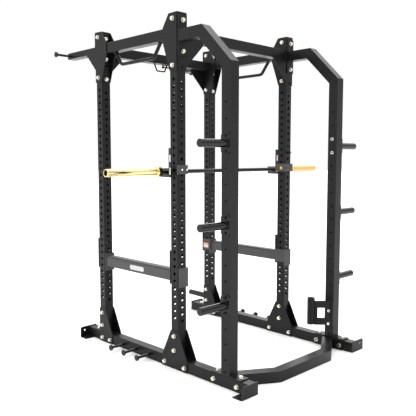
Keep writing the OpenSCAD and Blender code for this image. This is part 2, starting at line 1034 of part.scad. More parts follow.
// Bracket that wraps one upright: pinned front plate, inner arm and back flange
module safety_wrap() {
  arm_x = half + swing_gap;
  difference() {
    translate([-half, safety_plate_y[0], safety_plate_z[0]])
      cube([half + arm_x + plate_t, plate_t, safety_plate_z[1] - safety_plate_z[0]]);
    translate([0, safety_plate_y[0], 0])
      hole_y(0, safety_pin_z, pin_d);
  }
  translate([arm_x, -safety_flange_y - plate_t, safety_arm_z[0]])
    cube([plate_t, safety_flange_y + plate_t + safety_plate_y[1], safety_arm_z[1] - safety_arm_z[0]]);
  translate([-half, -safety_flange_y - plate_t, safety_flange_z[0]])
    cube([half + arm_x + plate_t, plate_t, safety_flange_z[1] - safety_flange_z[0]]);
}

module safety_bracket(side) {
  color(charcoal)
    on_side(side)
      for (y = [rear_y, front_y])
        translate([0, y, 0])
          safety_wrap();
}

module safety_pins(side) {
  color(zinc)
    on_side(side)
      for (y = [rear_y, front_y])
        translate([0, y + safety_plate_y[1], safety_pin_z])
          rotate([90, 0, 0]) {
            cylinder(h = safety_plate_y[1] + safety_pin_in - 3, d = pin_d, $fn = round_fn);
            translate([0, 0, safety_plate_y[1] + safety_pin_in - 3])
              cylinder(h = 3, d1 = pin_d, d2 = pin_d - 5, $fn = round_fn);
          }
}

// ---------- barbell ----------

bar_z = cup_seat_z + bar_d / 2 + 0.3;
collar_w = 40;
run_gap = 0.05;
sleeve_recess = 22;
shaft_short = 24;

// Local +Z runs outward along the bar from its middle
module on_bar(side) {
  translate([0, rear_y + bar_y, bar_z])
    rotate([0, 90 * side, 0])
      children();
}

module bar_shaft() {
  color(black)
    on_bar(1)
      cylinder(h = bar_l - 2 * shaft_short, d = bar_d, center = true, $fn = 64);
}

module bar_sleeve(side) {
  start = bar_grip_l / 2 + collar_w;
  sleeve_end = bar_l / 2;
  color(gold)
    on_bar(side)
      rotate_extrude($fn = 64)
        polygon([
          [bar_d / 2 + run_gap, start], [sleeve_d / 2, start],
          [sleeve_d / 2, sleeve_end - 2], [sleeve_d / 2 - 2, sleeve_end],
          [sleeve_d / 2 - 5, sleeve_end], [sleeve_d / 2 - 5, sleeve_end - sleeve_recess],
          [bar_d / 2 + run_gap, sleeve_end - sleeve_recess]
        ]);
}

module bar_collar(side) {
  start = bar_grip_l / 2;
  color(black)
    on_bar(side)
      rotate_extrude($fn = 64)
        polygon([
          [bar_d / 2 + run_gap, start], [collar_d / 2 - 8, start],
          [collar_d / 2 - 2, start + 4], [collar_d / 2, start + 8],
          [collar_d / 2, start + collar_w - 3], [collar_d / 2 - 3, start + collar_w],
          [bar_d / 2 + run_gap, start + collar_w]
        ]);
}

// ---------- bolts ----------

module top_bolts() {
  color(zinc)
    for (side = [-1, 1])
      on_side(side) {
        for (y = [rear_y, front_y], z = top_side_bolt_z) {
          bolt_x(-plate_face, y, z, -1);
          bolt_x(plate_face, y, z, 1);
        }
        for (z = rear_face_bolt_z) {
          bolt_y(0, rear_y - end_face, z, -1, bolt_bite + end_plate_t);
          bolt_y(0, rear_y + half, z, 1);
        }
        for (z = front_face_bolt_z) {
          stub_bolt = z > stub_plate_z[0];
          bolt_y(0, front_y - half, z, -1);
          bolt_y(
            0, front_y + (stub_bolt ? end_face : plate_face), z, 1,
            bolt_bite + (stub_bolt ? end_plate_t : 0)
          );
        }
      }
}

module foot_bolts() {
  color(zinc)
    for (side = [-1, 1])
      on_side(side) {
        for (x_side = [-1, 1]) {
          for (y = [rear_y, front_y], z = foot_bolt_z)
            bolt_x(x_side * plate_face, y, z, x_side);
          for (y = concat(rear_foot_bolt_y, front_foot_bolt_y))
            bolt_x(x_side * plate_face, y, rail_bolt_z, x_side);
        }
        translate([0, rail_bolt_y, tube_w])
          bolt(m16, bolt_bite, nut_af[0]);
      }
}

module post_bolts() {
  color(zinc)
    for (side = [-1, 1])
      on_side(side) {
        for (y = cross_bolt_y)
          translate([-half, post_y + y, cross_bolt_z])
            rotate([0, -90, 0])
              bolt(m16, tube_w + end_plate_t, nut_af[0], false);
        for (y = cross_bolt_y)
          nut_x(half + end_plate_t, post_y + y, cross_bolt_z, 1, m16, nut_af[0]);
        for (y = post_bolt_y)
          translate([0, post_y + y, post_foot_z])
            bolt(m16, bolt_bite, nut_af[0]);
      }
}

module horn_bolt() {
  for (dz = [-horn_bolt_dz, horn_bolt_dz])
    translate([-plate_face, 0, dz])
      rotate([0, -90, 0])
        bolt(m12, tube_w + plate_t + 12, nut_af[1], false);
}

module horn_bolts() {
  color(black) {
    for (side = [-1, 1])
      at_horns(side)
        horn_bolt();
    at_front_horn()
      horn_bolt();
  }
}

module horn_nut() {
  for (dz = [-horn_bolt_dz, horn_bolt_dz])
    nut_x(half, 0, dz, 1, m12, nut_af[1]);
}

module horn_nuts() {
  color(zinc) {
    for (side = [-1, 1])
      at_horns(side)
        horn_nut();
    at_front_horn()
      horn_nut();
  }
}

module holder_bolts() {
  color(zinc)
    for (z = holder_bolt_z)
      on_side(1)
        translate([plate_face, post_y, z])
          rotate([0, 90, 0])
            bolt(m12, tube_w + plate_t + 10, nut_af[1]);
}

// ---------- nodes ----------

upright(-1, rear_y, rear_face_bolt_z, rear_face_hole_z);  // upright_near_rear
upright(-1, front_y, front_face_bolt_z, front_face_hole_z);  // upright_near_front
upright(1, rear_y, rear_face_bolt_z, rear_face_hole_z);  // upright_far_rear
upright(1, front_y, front_face_bolt_z, front_face_hole_z, true);  // upright_far_front
upright_caps();
base_rail(-1);  // base_rail_near
base_rail(1);  // base_rail_far
foot_gussets(-1);  // foot_gussets_near
foot_gussets(1);  // foot_gussets_far
floor_bracket(-1, rail_start, 1);  // floor_bracket_near_rear
floor_bracket(-1, rail_start + rail_l, -1);  // floor_bracket_near_front
floor_bracket(1, rail_start, 1);  // floor_bracket_far_rear
floor_bracket(1, rail_start + rail_l, -1);  // floor_bracket_far_front
side_beam(-1);  // side_beam_near
side_beam(1);  // side_beam_far
kite_plates(-1);  // kite_plates_near
kite_plates(1);  // kite_plates_far
cross_beam(rear_y);  // cross_beam_rear
cross_beam(front_y);  // cross_beam_front
corner_plates();
front_stub(-1);  // front_stub_near
front_stub(1);  // front_stub_far
storage_post(-1);  // storage_post_near
storage_post(1);  // storage_post_far
base_cross_member();
storage_horns(-1);  // storage_horns_near
storage_horns(1);  // storage_horns_far
front_horn();
horn_caps();
bar_holder();
band_pegs();
side_grip(-1);  // side_grip_near
side_grip(1);  // side_grip_far
center_loop();
cup_bracket(-1);  // cup_bracket_near
cup_bracket(1);  // cup_bracket_far
cup_liners();
cup_pads();
cup_spacers();
cup_pins();
safety_tube(-1);  // safety_tube_near
safety_tube(1);  // safety_tube_far
safety_liner(-1);  // safety_liner_near
safety_liner(1);  // safety_liner_far
safety_bracket(-1);  // safety_bracket_near
safety_bracket(1);  // safety_bracket_far
safety_pins(-1);  // safety_pins_near
safety_pins(1);  // safety_pins_far
bar_shaft();
bar_sleeve(-1);  // bar_sleeve_near
bar_sleeve(1);  // bar_sleeve_far
bar_collar(-1);  // bar_collar_near
bar_collar(1);  // bar_collar_far
top_bolts();
foot_bolts();
post_bolts();
horn_bolts();
horn_nuts();
holder_bolts();
cup_bolts();
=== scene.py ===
"""Looks for the power cage: powder-coated steel, zinc bolts, plastic liners and a gold-sleeved bar.

Lengths are in metres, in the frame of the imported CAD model: +X runs from the near side to the
far side, +Y from the storage posts to the front uprights, and +Z up.
"""

import json
import math
import random

import bmesh
import bpy
from mathutils import Matrix, Vector
from mathutils.bvhtree import BVHTree

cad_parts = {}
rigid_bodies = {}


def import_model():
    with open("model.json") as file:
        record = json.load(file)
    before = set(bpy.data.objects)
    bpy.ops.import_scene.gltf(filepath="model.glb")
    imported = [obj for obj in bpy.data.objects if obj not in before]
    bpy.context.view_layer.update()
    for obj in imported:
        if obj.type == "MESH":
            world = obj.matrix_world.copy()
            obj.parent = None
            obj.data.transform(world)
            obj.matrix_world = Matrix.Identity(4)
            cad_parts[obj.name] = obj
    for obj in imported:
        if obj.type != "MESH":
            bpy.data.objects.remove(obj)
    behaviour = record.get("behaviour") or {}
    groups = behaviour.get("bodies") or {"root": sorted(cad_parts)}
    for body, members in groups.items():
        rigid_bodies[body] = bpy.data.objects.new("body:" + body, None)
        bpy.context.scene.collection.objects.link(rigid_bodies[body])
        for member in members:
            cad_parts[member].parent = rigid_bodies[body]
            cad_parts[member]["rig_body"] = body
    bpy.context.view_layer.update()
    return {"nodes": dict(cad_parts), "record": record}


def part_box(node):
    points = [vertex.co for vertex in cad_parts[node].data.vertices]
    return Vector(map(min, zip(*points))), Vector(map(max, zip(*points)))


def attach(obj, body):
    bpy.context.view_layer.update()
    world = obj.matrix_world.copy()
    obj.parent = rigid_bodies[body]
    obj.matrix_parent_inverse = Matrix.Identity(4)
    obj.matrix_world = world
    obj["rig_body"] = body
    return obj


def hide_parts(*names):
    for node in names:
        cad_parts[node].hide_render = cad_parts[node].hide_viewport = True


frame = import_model()
NODES = frame["nodes"]
SLOT_OF = {p["node"]: p["material_slot"] for p in frame["record"]["subparts"]}
BODY_OF = {name: obj["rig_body"] for name, obj in NODES.items()}

# ---------- sizes shared with the CAD model ----------


def middle(node):
    low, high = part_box(node)
    return (low + high) / 2


SIDES = {"near": -1, "far": 1}
NEAR_X = middle("upright_near_rear").x
FAR_X = middle("upright_far_rear").x
UPRIGHT_X = {"near": NEAR_X, "far": FAR_X}
REAR_Y = middle("upright_near_rear").y
FRONT_Y = middle("upright_near_front").y
POST_Y = middle("storage_horns_near").y
BAR_Y = middle("bar_shaft").y
BAR_Z = middle("bar_shaft").z
TUBE_HALF = 0.0375
PLATE_T = 0.006
END_PLATE_T = 0.008
STUB_Z = 2.235  # underside of the top stubs
STUB_H = 0.050
HORN_Z = (0.532, 1.032, 1.532)


# ---------- materials ----------

# Face layer of rounded edges, which the powder coat shows as rubbed
EDGE_LAYER = "edge"

# Knurl of the bar, with its distances from the middle of the bar
KNURL_PITCH = 0.0022
KNURL_STARTS = 40
KNURL_END = 0.60
RING_MARK = 0.405
RING_HALF = 0.004
SMOOTH_ZONE = 0.115
SMOOTH_HALF = 0.045


class Shader:
    """A Principled material with short helpers for its procedural nodes."""

    def __init__(self, name):
        self.material = bpy.data.materials.new(name)
        self.material.use_nodes = True
        self.tree = self.material.node_tree
        self.tree.nodes.clear()
        self.out = self.add("ShaderNodeOutputMaterial")
        self.bsdf = self.add("ShaderNodeBsdfPrincipled")
        self.link(self.bsdf.outputs["BSDF"], self.out.inputs["Surface"])
        self.coords = self.add("ShaderNodeTexCoord").outputs["Object"]

    def add(self, kind, **settings):
        node = self.tree.nodes.new(kind)
        for key, value in settings.items():
            setattr(node, key, value)
        return node

    def link(self, a, b):
        self.tree.links.new(a, b)

    def set(self, **values):
        for key, value in values.items():
            self.bsdf.inputs[key].default_value = value

    def noise(self, scale, detail=3.0, stretch=None):
        node = self.add("ShaderNodeTexNoise")
        node.inputs["Scale"].default_value = scale
        node.inputs["Detail"].default_value = detail
        source = self.coords
        if stretch:
            mapping = self.add("ShaderNodeMapping")
            mapping.inputs["Scale"].default_value = stretch
            self.link(self.coords, mapping.inputs["Vector"])
            source = mapping.outputs["Vector"]
        self.link(source, node.inputs["Vector"])
        return node.outputs["Fac"]

    def math(self, operation, a, b=None):
        node = self.add("ShaderNodeMath", operation=operation)
        for i, value in enumerate((a, b)):
            if value is None:
                continue
            if isinstance(value, (int, float)):
                node.inputs[i].default_value = value
            else:
                self.link(value, node.inputs[i])
        return node.outputs[0]

    def spread(self, value, low=0.0, high=1.0, start=0.3, end=0.7):
        """Maps a value from start..end, where most noise lies, to low..high."""
        node = self.add("ShaderNodeMapRange")
        limits = {"From Min": start, "From Max": end, "To Min": low, "To Max": high}
        for key, number in limits.items():
            node.inputs[key].default_value = number
        self.link(value, node.inputs["Value"])
        return node.outputs["Result"]

    def mix(self, factor, a, b):
        node = self.add("ShaderNodeMix", data_type="RGBA")
        self.link(factor, node.inputs["Factor"])
        for socket, value in ((node.inputs[6], a), (node.inputs[7], b)):
            if isinstance(value, tuple):
                socket.default_value = (*value, 1.0)
            else:
                self.link(value, socket)
        return node.outputs[2]

    def attribute(self, name):
        return self.add("ShaderNodeAttribute", attribute_name=name).outputs["Fac"]

    def bump(self, height, strength, distance, after=None):
        node = self.add("ShaderNodeBump")
        node.inputs["Strength"].default_value = strength
        node.inputs["Distance"].default_value = distance
        self.link(height, node.inputs["Height"])
        if after is not None:
            self.link(after, node.inputs["Normal"])
        return node.outputs["Normal"]

    def finish(self, color, roughness, normal=None):
        inputs = {"Base Color": color, "Roughness": roughness, "Normal": normal}
        for socket, value in inputs.items():
            if value is not None:
                self.link(value, self.bsdf.inputs[socket])
        return self.material


def powder_coat(name, dark, light, worn, rough):
    """Powder-coated steel: orange-peel texture, faint colour drift and rubbed edges."""
    s = Shader(name)
    drift = s.spread(s.noise(scale=3.5, detail=4.0))
    speck = s.spread(s.noise(scale=900.0, detail=1.0), low=-0.25, high=0.25)
    tone = s.mix(s.math("ADD", drift, speck), dark, light)
    patches = s.spread(s.noise(scale=45.0, detail=4.0), start=0.42, end=0.62)
    color = s.mix(s.math("MULTIPLY", s.attribute(EDGE_LAYER), patches), tone, worn)
    smudge = s.spread(s.noise(scale=7.0, detail=5.0), low=rough - 0.05, high=rough + 0.07)
    peel = s.bump(s.noise(scale=420.0, detail=2.0), strength=0.16, distance=0.0006)
    fine = s.noise(scale=1600.0, detail=1.0)
    grain = s.bump(fine, strength=0.10, distance=0.0002, after=peel)
    s.set(Metallic=0.0, IOR=1.28)
    return s.finish(color, smudge, grain)


def gloss_black(name, tone, rough):
    """Smooth black enamel with fine scuffs."""
    s = Shader(name)
    lighter = tuple(2.0 * c for c in tone)
    color = s.mix(s.spread(s.noise(scale=6.0, detail=4.0)), tone, lighter)
    scuff = s.spread(s.noise(scale=40.0, detail=4.0), low=rough, high=rough + 0.05)
    waves = s.bump(s.noise(scale=160.0, detail=2.0), strength=0.04, distance=0.0003)
    s.set(Metallic=0.0, IOR=1.34)
    return s.finish(color, scuff, waves)


def zinc(name):
    """Yellow-white zinc plating with a slightly mottled passivation."""
    s = Shader(name)
    mottle = s.spread(s.noise(scale=110.0))
    color = s.mix(mottle, (0.97, 0.95, 0.87), (0.86, 0.78, 0.58))
    rough = s.spread(s.noise(scale=500.0, detail=2.0), low=0.12, high=0.24)
    grain = s.bump(s.noise(scale=1200.0, detail=2.0), strength=0.08, distance=0.0002)
    s.set(Metallic=1.0)
    return s.finish(color, rough, grain)


def gold_plate(name, light, deep, rough):
    """Gold-coloured plating over a turned surface, with fine rings round the bar."""
    s = Shader(name)
    color = s.mix(s.spread(s.noise(scale=9.0)), light, deep)
    rings = s.noise(scale=1.0, stretch=(700.0, 6.0, 6.0))
    dull = s.spread(rings, low=rough, high=rough + 0.06)
    s.set(Metallic=1.0)
    return s.finish(color, dull, s.bump(rings, strength=0.03, distance=0.00004))


def knurl_height(s):
    """Two crossed threads, left out at the ring marks, the smooth zones and the ends."""
    split = s.add("ShaderNodeSeparateXYZ")
    s.link(s.coords, split.inputs[0])
    along = split.outputs["X"]
    away = s.math("ABSOLUTE", along)

    def farther_than(place_x, reach):
        offset = s.math("ABSOLUTE", s.math("SUBTRACT", away, place_x))
        return s.math("GREATER_THAN", offset, reach)

    rise = s.math("SUBTRACT", split.outputs["Z"], BAR_Z)
    depth = s.math("SUBTRACT", split.outputs["Y"], BAR_Y)
    lengthwise = s.math("MULTIPLY", along, 2 * math.pi / KNURL_PITCH)
    around = s.math("MULTIPLY", s.math("ARCTAN2", rise, depth), KNURL_STARTS)
    right = s.math("SINE", s.math("ADD", lengthwise, around))
    left = s.math("SINE", s.math("SUBTRACT", lengthwise, around))
    inside_end = s.math("LESS_THAN", away, KNURL_END)
    zone = s.math("MULTIPLY", farther_than(RING_MARK, RING_HALF), inside_end)
    zone = s.math("MULTIPLY", zone, farther_than(SMOOTH_ZONE, SMOOTH_HALF))
    return s.math("MULTIPLY", s.math("MULTIPLY", right, left), zone)


def knurled_black(name):
    """Black oxide bar with a diamond knurl that stops at the smooth zones."""
    s = Shader(name)
    height = knurl_height(s)
    peaks = s.spread(height, start=0.2, end=1.0)
    color = s.mix(peaks, (0.008, 0.008, 0.009), (0.024, 0.024, 0.025))
    rough = s.spread(s.noise(scale=30.0, detail=4.0), low=0.30, high=0.42)
    s.set(Metallic=0.0, IOR=1.3)
    return s.finish(color, rough, s.bump(height, strength=0.5, distance=0.0004))


def moulded_plastic(name, tone, speck, rough):
    """Moulded liner plastic with a fine matte grain and faint flow marks."""
    s = Shader(name)
    flow = s.noise(scale=25.0, detail=5.0, stretch=(1.0, 1.0, 4.0))
    color = s.mix(s.spread(flow), tone, speck)
    dull = s.spread(s.noise(scale=80.0, detail=4.0), low=rough - 0.05, high=rough + 0.08)
    grain = s.bump(s.noise(scale=1100.0, detail=2.0), strength=0.2, distance=0.0003)
    s.set(Metallic=0.0, IOR=1.49)
    return s.finish(color, dull, grain)


def label_film(name, tone, edge):
    """Vinyl film without any print: slight waves and a soft sheen."""
    s = Shader(name)
    color = s.mix(s.spread(s.noise(scale=14.0)), tone, edge)
    sheen = s.spread(s.noise(scale=40.0), low=0.28, high=0.42)
    waves = s.bump(s.noise(scale=70.0, detail=2.0), strength=0.1, distance=0.0004)
    s.set(Metallic=0.0, IOR=1.46)
    return s.finish(color, sheen, waves)


def studio_floor(name):
    """Pale seamless floor with a barely visible tone drift."""
    s = Shader(name)
    drift = s.spread(s.noise(scale=0.6))
    color = s.mix(drift, (0.90, 0.90, 0.90), (0.93, 0.93, 0.925))
    return s.finish(color, s.spread(s.noise(scale=20.0), low=0.75, high=0.85))


MATERIALS = {
    "frame_black": powder_coat(
        "frame_black", dark=(0.0052, 0.0052, 0.0056), light=(0.0085, 0.0085, 0.009),
        worn=(0.035, 0.035, 0.035), rough=0.34,
    ),
    "bracket_gray": powder_coat(
        "bracket_gray", dark=(0.054, 0.054, 0.055), light=(0.068, 0.068, 0.069),
        worn=(0.13, 0.13, 0.13), rough=0.42,
    ),
    "horn_black": gloss_black("horn_black", tone=(0.003, 0.003, 0.0033), rough=0.13),
    "zinc_steel": zinc("zinc_steel"),
    "bar_black": knurled_black("bar_black"),
    "gold_sleeve": gold_plate(
        "gold_sleeve", light=(0.95, 0.77, 0.39), deep=(0.88, 0.67, 0.29), rough=0.09,
    ),
    "liner_black": moulded_plastic(
        "liner_black", tone=(0.020, 0.020, 0.021), speck=(0.032, 0.032, 0.033), rough=0.45,
    ),
    "liner_ivory": moulded_plastic(
        "liner_ivory", tone=(0.72, 0.66, 0.53), speck=(0.80, 0.75, 0.63), rough=0.45,
    ),
    "cap_plastic": gloss_black("cap_plastic", tone=(0.006, 0.006, 0.006), rough=0.16),
}
LABEL_WHITE = label_film("label_white", (0.56, 0.56, 0.555), (0.50, 0.50, 0.50))
LABEL_RIM = label_film("label_rim", (0.020, 0.020, 0.020), (0.032, 0.032, 0.032))
LABEL_AMBER = label_film("label_amber", (0.72, 0.42, 0.02), (0.80, 0.50, 0.04))
LABEL_ORANGE = label_film("label_orange", (0.80, 0.24, 0.08), (0.85, 0.30, 0.12))
# Second copy of the sleeve plating, darker, more orange and rougher, for the far sleeve only: its
# colour is painted shade standing in for how light falls on that sleeve, not a different plating
SHADED_FAR_GOLD = gold_plate("shaded_far_gold", light=(0.84, 0.49, 0.20), deep=(0.78, 0.45, 0.17), rough=0.5)
PLUG_PLASTIC = moulded_plastic(
    "plug_plastic", tone=(0.012, 0.012, 0.012), speck=(0.020, 0.020, 0.020), rough=0.38,
)


# ---------- mesh helpers ----------

SHARP = math.radians(32)
FLAT = math.radians(0.4)
SAME_POINT = 2e-6
NO_LENGTH = 1e-7


def place(mesh, name, body, material, replaced=()):
    """Links a mesh as a piece that rides on a body, shaded smooth between sharp edges."""
    obj = bpy.data.objects.new(name, mesh)
    bpy.context.scene.collection.objects.link(obj)
    mesh.materials.clear()
    mesh.materials.append(material)
    mesh.polygons.foreach_set("use_smooth", [True] * len(mesh.polygons))
    mesh.set_sharp_from_angle(angle=SHARP)
    weighted = obj.modifiers.new("normals", "WEIGHTED_NORMAL")
    weighted.keep_sharp = True
    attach(obj, body)
    if replaced:
        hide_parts(*replaced)
    return obj


def to_mesh(bm, name):
    mesh = bpy.data.meshes.new(name)
    bm.to_mesh(mesh)
    bm.free()
    return mesh


def closed_mesh(bm, name):
    """A mesh whose faces all point outward."""
    bmesh.ops.recalc_face_normals(bm, faces=bm.faces)
    return to_mesh(bm, name)


def turns(sides):
    """Evenly spaced angles round a circle."""
    return [2 * math.pi * k / sides for k in range(sides)]


def add_ring(bm, centre, u, v, radius, sides):
    """Vertices round a circle in the plane of u and v."""
    return [
        bm.verts.new(centre + radius * (u * math.cos(t) + v * math.sin(t)))
        for t in turns(sides)
    ]


def bridge(bm, rings):
    """Faces between each ring and the next; a ring of one vertex makes a fan."""
    for low, high in zip(rings, rings[1:]):
        sides = max(len(low), len(high))
        for k in range(sides):
            m = (k + 1) % sides
            first, second = low[k % len(low)], low[m % len(low)]
            third, fourth = high[m % len(high)], high[k % len(high)]
            corners = list(dict.fromkeys((first, second, third, fourth)))
            if len(corners) > 2:
                bm.faces.new(corners)


def bare_mesh(node):
    """The node's shape alone, with no imported normals or seams, as a bmesh."""
    source = NODES[node].data
    bm = bmesh.new()
    verts = [bm.verts.new(v.co) for v in source.vertices]
    for polygon in source.polygons:
        corners = [verts[i] for i in polygon.vertices]
        if len(set(corners)) == len(corners) and bm.faces.get(corners) is None:
            bm.faces.new(corners)
    bmesh.ops.remove_doubles(bm, verts=bm.verts, dist=SAME_POINT)
    bmesh.ops.dissolve_degenerate(bm, dist=NO_LENGTH, edges=bm.edges)
    bmesh.ops.recalc_face_normals(bm, faces=bm.faces)
    return bm


def solids(bm):
    """The corners of each separate solid of a bmesh, always in the same order."""
    seen = set()
    found = []
    for first in bm.verts:
        if first in seen:
            continue
        seen.add(first)
        corners = [first]
        for corner in corners:
            for edge in corner.link_edges:
                other = edge.other_vert(corner)
                if other not in seen:
                    seen.add(other)
                    corners.append(other)
        found.append(corners)
    return found


def keep_solids(bm, wanted):
    """Deletes every solid whose centre isn't wanted."""
    for corners in solids(bm):
        centre = sum((v.co for v in corners), Vector()) / len(corners)
        if not wanted(centre):
            bmesh.ops.delete(bm, geom=corners, context="VERTS")


def refine(node, width, segments, suffix="finish", wanted=None, material=None):
    """Stands in for a CAD node: the same shape with its sharp edges rounded by a small width."""
    bm = bare_mesh(node)
    if wanted:
        keep_solids(bm, wanted)
    bmesh.ops.dissolve_limit(bm, angle_limit=FLAT, verts=bm.verts, edges=bm.edges)
    edge = bm.faces.layers.float.new(EDGE_LAYER)
    sharp = [e for e in bm.edges if len(e.link_faces) == 2 and e.calc_face_angle() > SHARP]
    made = bmesh.ops.bevel(
        bm, geom=sharp, offset=width, offset_type="OFFSET", segments=segments, profile=0.5,
        affect="EDGES", clamp_overlap=False, miter_outer="SHARP",
    )
    for face in made["faces"]:
        face[edge] = 1.0
    name = f"{node}_{suffix}"
    slot = SLOT_OF[node]
    mesh = to_mesh(bm, name)
    return place(mesh, name, BODY_OF[node], material or MATERIALS[slot], [node])


def lathe(name, profile, origin, axis, sides=72):
    """A turned shape: profile holds (distance along the axis, radius) from one end to the other."""
    direction = Vector(axis).normalized()
    across = direction.orthogonal().normalized()
    third = direction.cross(across)
    bm = bmesh.new()
    rings = []
    for along, radius in profile:
        centre = Vector(origin) + direction * along
        if radius == 0:
            rings.append([bm.verts.new(centre)])
        else:
            rings.append(add_ring(bm, centre, across, third, radius, sides))
    bridge(bm, rings)
    return closed_mesh(bm, name)


def rounded_path(points, radius, steps=14):
    """A polyline whose inner corners are arcs of one radius."""
    path = [Vector(points[0])]
    for before, corner, after in zip(points, points[1:], points[2:]):
        corner = Vector(corner)
        back = (Vector(before) - corner).normalized()
        ahead = (Vector(after) - corner).normalized()
        half = back.angle(ahead) / 2
        centre = corner + (back + ahead).normalized() * (radius / math.sin(half))
        start = corner + back * (radius / math.tan(half)) - centre
        axis = back.cross(ahead).normalized()
        turn = -(math.pi - 2 * half)
        for k in range(steps + 1):
            path.append(centre + Matrix.Rotation(turn * k / steps, 3, axis) @ start)
    path.append(Vector(points[-1]))
    return path


def sweep(name, path, radius_at, sides=20, closed_ends=True):
    """A round tube along a path; radius_at gives the radius at each point's number."""
    bm = bmesh.new()
    rings = []
    side = None
    for i, point in enumerate(path):
        ahead = (path[min(i + 1, len(path) - 1)] - path[max(i - 1, 0)]).normalized()
        side = ahead.orthogonal() if side is None else side - ahead * side.dot(ahead)
        side = side.normalized()
        rings.append(add_ring(bm, point, side, ahead.cross(side), radius_at(i), sides))
    bridge(bm, rings)
    if closed_ends:
        bm.faces.new(rings[0])
        bm.faces.new(rings[-1])
    return closed_mesh(bm, name)


def joined(name, meshes):
    """Several meshes as one."""
    bm = bmesh.new()
    for mesh in meshes:
        bm.from_mesh(mesh)
    return to_mesh(bm, name)


def rounded_outline(width, height, radius, steps=8):
    """Corner-rounded rectangle round the origin, as (u, v) points."""
    points = []
    for quarter, (su, sv) in enumerate(((1, 1), (-1, 1), (-1, -1), (1, -1))):
        for k in range(steps + 1):
            angle = math.pi / 2 * (quarter + k / steps)
            u = su * (width / 2 - radius) + radius * math.cos(angle)
            v = sv * (height / 2 - radius) + radius * math.sin(angle)
            points.append((u, v))
    return points


def slab(name, outline, centre, u_axis, v_axis, thickness, crown=0.0):
    """An extruded outline that starts on a face and rises by its thickness, with a soft edge."""
    u, v = Vector(u_axis), Vector(v_axis)
    out = u.cross(v).normalized()
    layers = ((0.0, 1.0), (thickness * 0.7, 1.0), (thickness, 0.985), (thickness + crown, 0.7))
    bm = bmesh.new()
    rings = []
    for rise, scale in layers:
        rings.append([
            bm.verts.new(Vector(centre) + u * a * scale + v * b * scale + out * rise)
            for a, b in outline
        ])
    bridge(bm, rings)
    bm.faces.new(rings[0])
    bm.faces.new(rings[-1])
    return closed_mesh(bm, name)


def bead(name, start, end, radius, seed):
    """A weld bead with even ripples between two points."""
    ripple = 0.0022
    fewest_steps = 6
    start, end = Vector(start), Vector(end)
    steps = max(fewest_steps, int((end - start).length / ripple))
    shake = random.Random(seed)
    path = [start.lerp(end, i / steps) for i in range(steps + 1)]
    swell = [radius * (0.86 + 0.14 * (i % 2) + 0.06 * shake.random()) for i in range(steps + 1)]
    return sweep(name, path, lambda i: swell[i], sides=8)


# ---------- CAD nodes with rounded edges ----------

HAND_MADE = {
    "side_grip_near", "side_grip_far", "center_loop",
    "bar_shaft", "bar_sleeve_near", "bar_sleeve_far", "bar_collar_near", "bar_collar_far",
}
BOLTS = (
    "top_bolts", "foot_bolts", "post_bolts", "horn_bolts", "horn_nuts", "holder_bolts", "cup_bolts",
)

# Start of the node's name, then the rounding width and its segments
EDGES = (
    (BOLTS, (0.0013, 2)),
    (("upright_near", "upright_far"), (0.0007, 1)),
    (("cup_liners", "cup_pads", "cup_spacers", "safety_liner"), (0.0015, 3)),
    (("base_rail", "storage_post"), (0.0009, 2)),
)
OTHER_EDGES = (0.0011, 2)

BELOW_TOP_HORNS = 1.4


def edge_size(node):
    for starts, size in EDGES:
        if node.startswith(starts):
            return size
    return OTHER_EDGES


def bright_nut(centre):
    """Only the nuts of the top horns are left bright; the others are black, and on the front horn's
    nut, which sits in shade between the gusset plates, that black is painted shade.
    """
    return centre.z > BELOW_TOP_HORNS


def near_side(centre):
    return centre.x < 0


def opposite(test):
    return lambda centre: not test(centre)


# Which of a node's solids keep their plating, and the material of the others: the far cup bolts are
# painted gray, and the black on the front horn's nut is painted shade
SPLIT_SOLIDS = {"horn_nuts": (bright_nut, "horn_black"), "cup_bolts": (near_side, "bracket_gray")}


def finish_cad_nodes():
    for node in sorted(NODES):
        if node in SPLIT_SOLIDS:
            plated, paint = SPLIT_SOLIDS[node]
            refine(node, *edge_size(node), "plated", plated)
            refine(node, *edge_size(node), "painted", opposite(plated), MATERIALS[paint])
        elif node not in HAND_MADE:
            refine(node, *edge_size(node))


# ---------- grips and loop ----------

# Distances along the side beam from the rear uprights
GRIP_FOOT_Y = (0.170, 0.685)
GRIP_BEND_Y = (0.246, 0.621)
# How much longer each weld is than it is wide, because the foot meets the beam at a slant
GRIP_WELD_STRETCH = (1.27, 1.21)


def ellipse(centre, rx, ry, steps):
    """Closed ring of points in a level plane."""
    angles = [2 * math.pi * k / steps for k in range(steps + 1)]
    return [Vector(centre) + Vector((rx * math.cos(t), ry * math.sin(t), 0)) for t in angles]


def weld_ring(centre, rx, ry, size, steps):
    """Bead round the foot of a bar."""
    return sweep("weld", ellipse(centre, rx, ry, steps), lambda i: size, 8, False)


def hung_bar(node, points, bend, radius, sides, welds):
    """A bent round bar and its welds in place of a CAD node."""
    name = node + "_finish"
    rod = sweep(node + "_rod", rounded_path(points, bend), lambda i: radius, sides)
    whole = joined(name, [rod, *welds])
    place(whole, name, "frame", MATERIALS["frame_black"], [node])


def side_grips():
    """Bent bars under the side beams."""
    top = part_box("side_beam_near")[0].z
    foot_z = top + 0.004
    for side in SIDES:
        node = "side_grip_" + side
        low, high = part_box(node)
        x = (low.x + high.x) / 2
        radius = (high.x - low.x) / 2
        grip_z = low.z + radius
        points = [
            (x, REAR_Y + GRIP_FOOT_Y[0], foot_z), (x, REAR_Y + GRIP_BEND_Y[0], grip_z),
            (x, REAR_Y + GRIP_BEND_Y[1], grip_z), (x, REAR_Y + GRIP_FOOT_Y[1], foot_z),
        ]
        ring = radius + 0.001
        welds = [
            weld_ring((x, REAR_Y + y, top), ring, ring * stretch, 0.0028, 48)
            for y, stretch in zip(GRIP_FOOT_Y, GRIP_WELD_STRETCH)
        ]
        hung_bar(node, points, 0.045, radius, 32, welds)


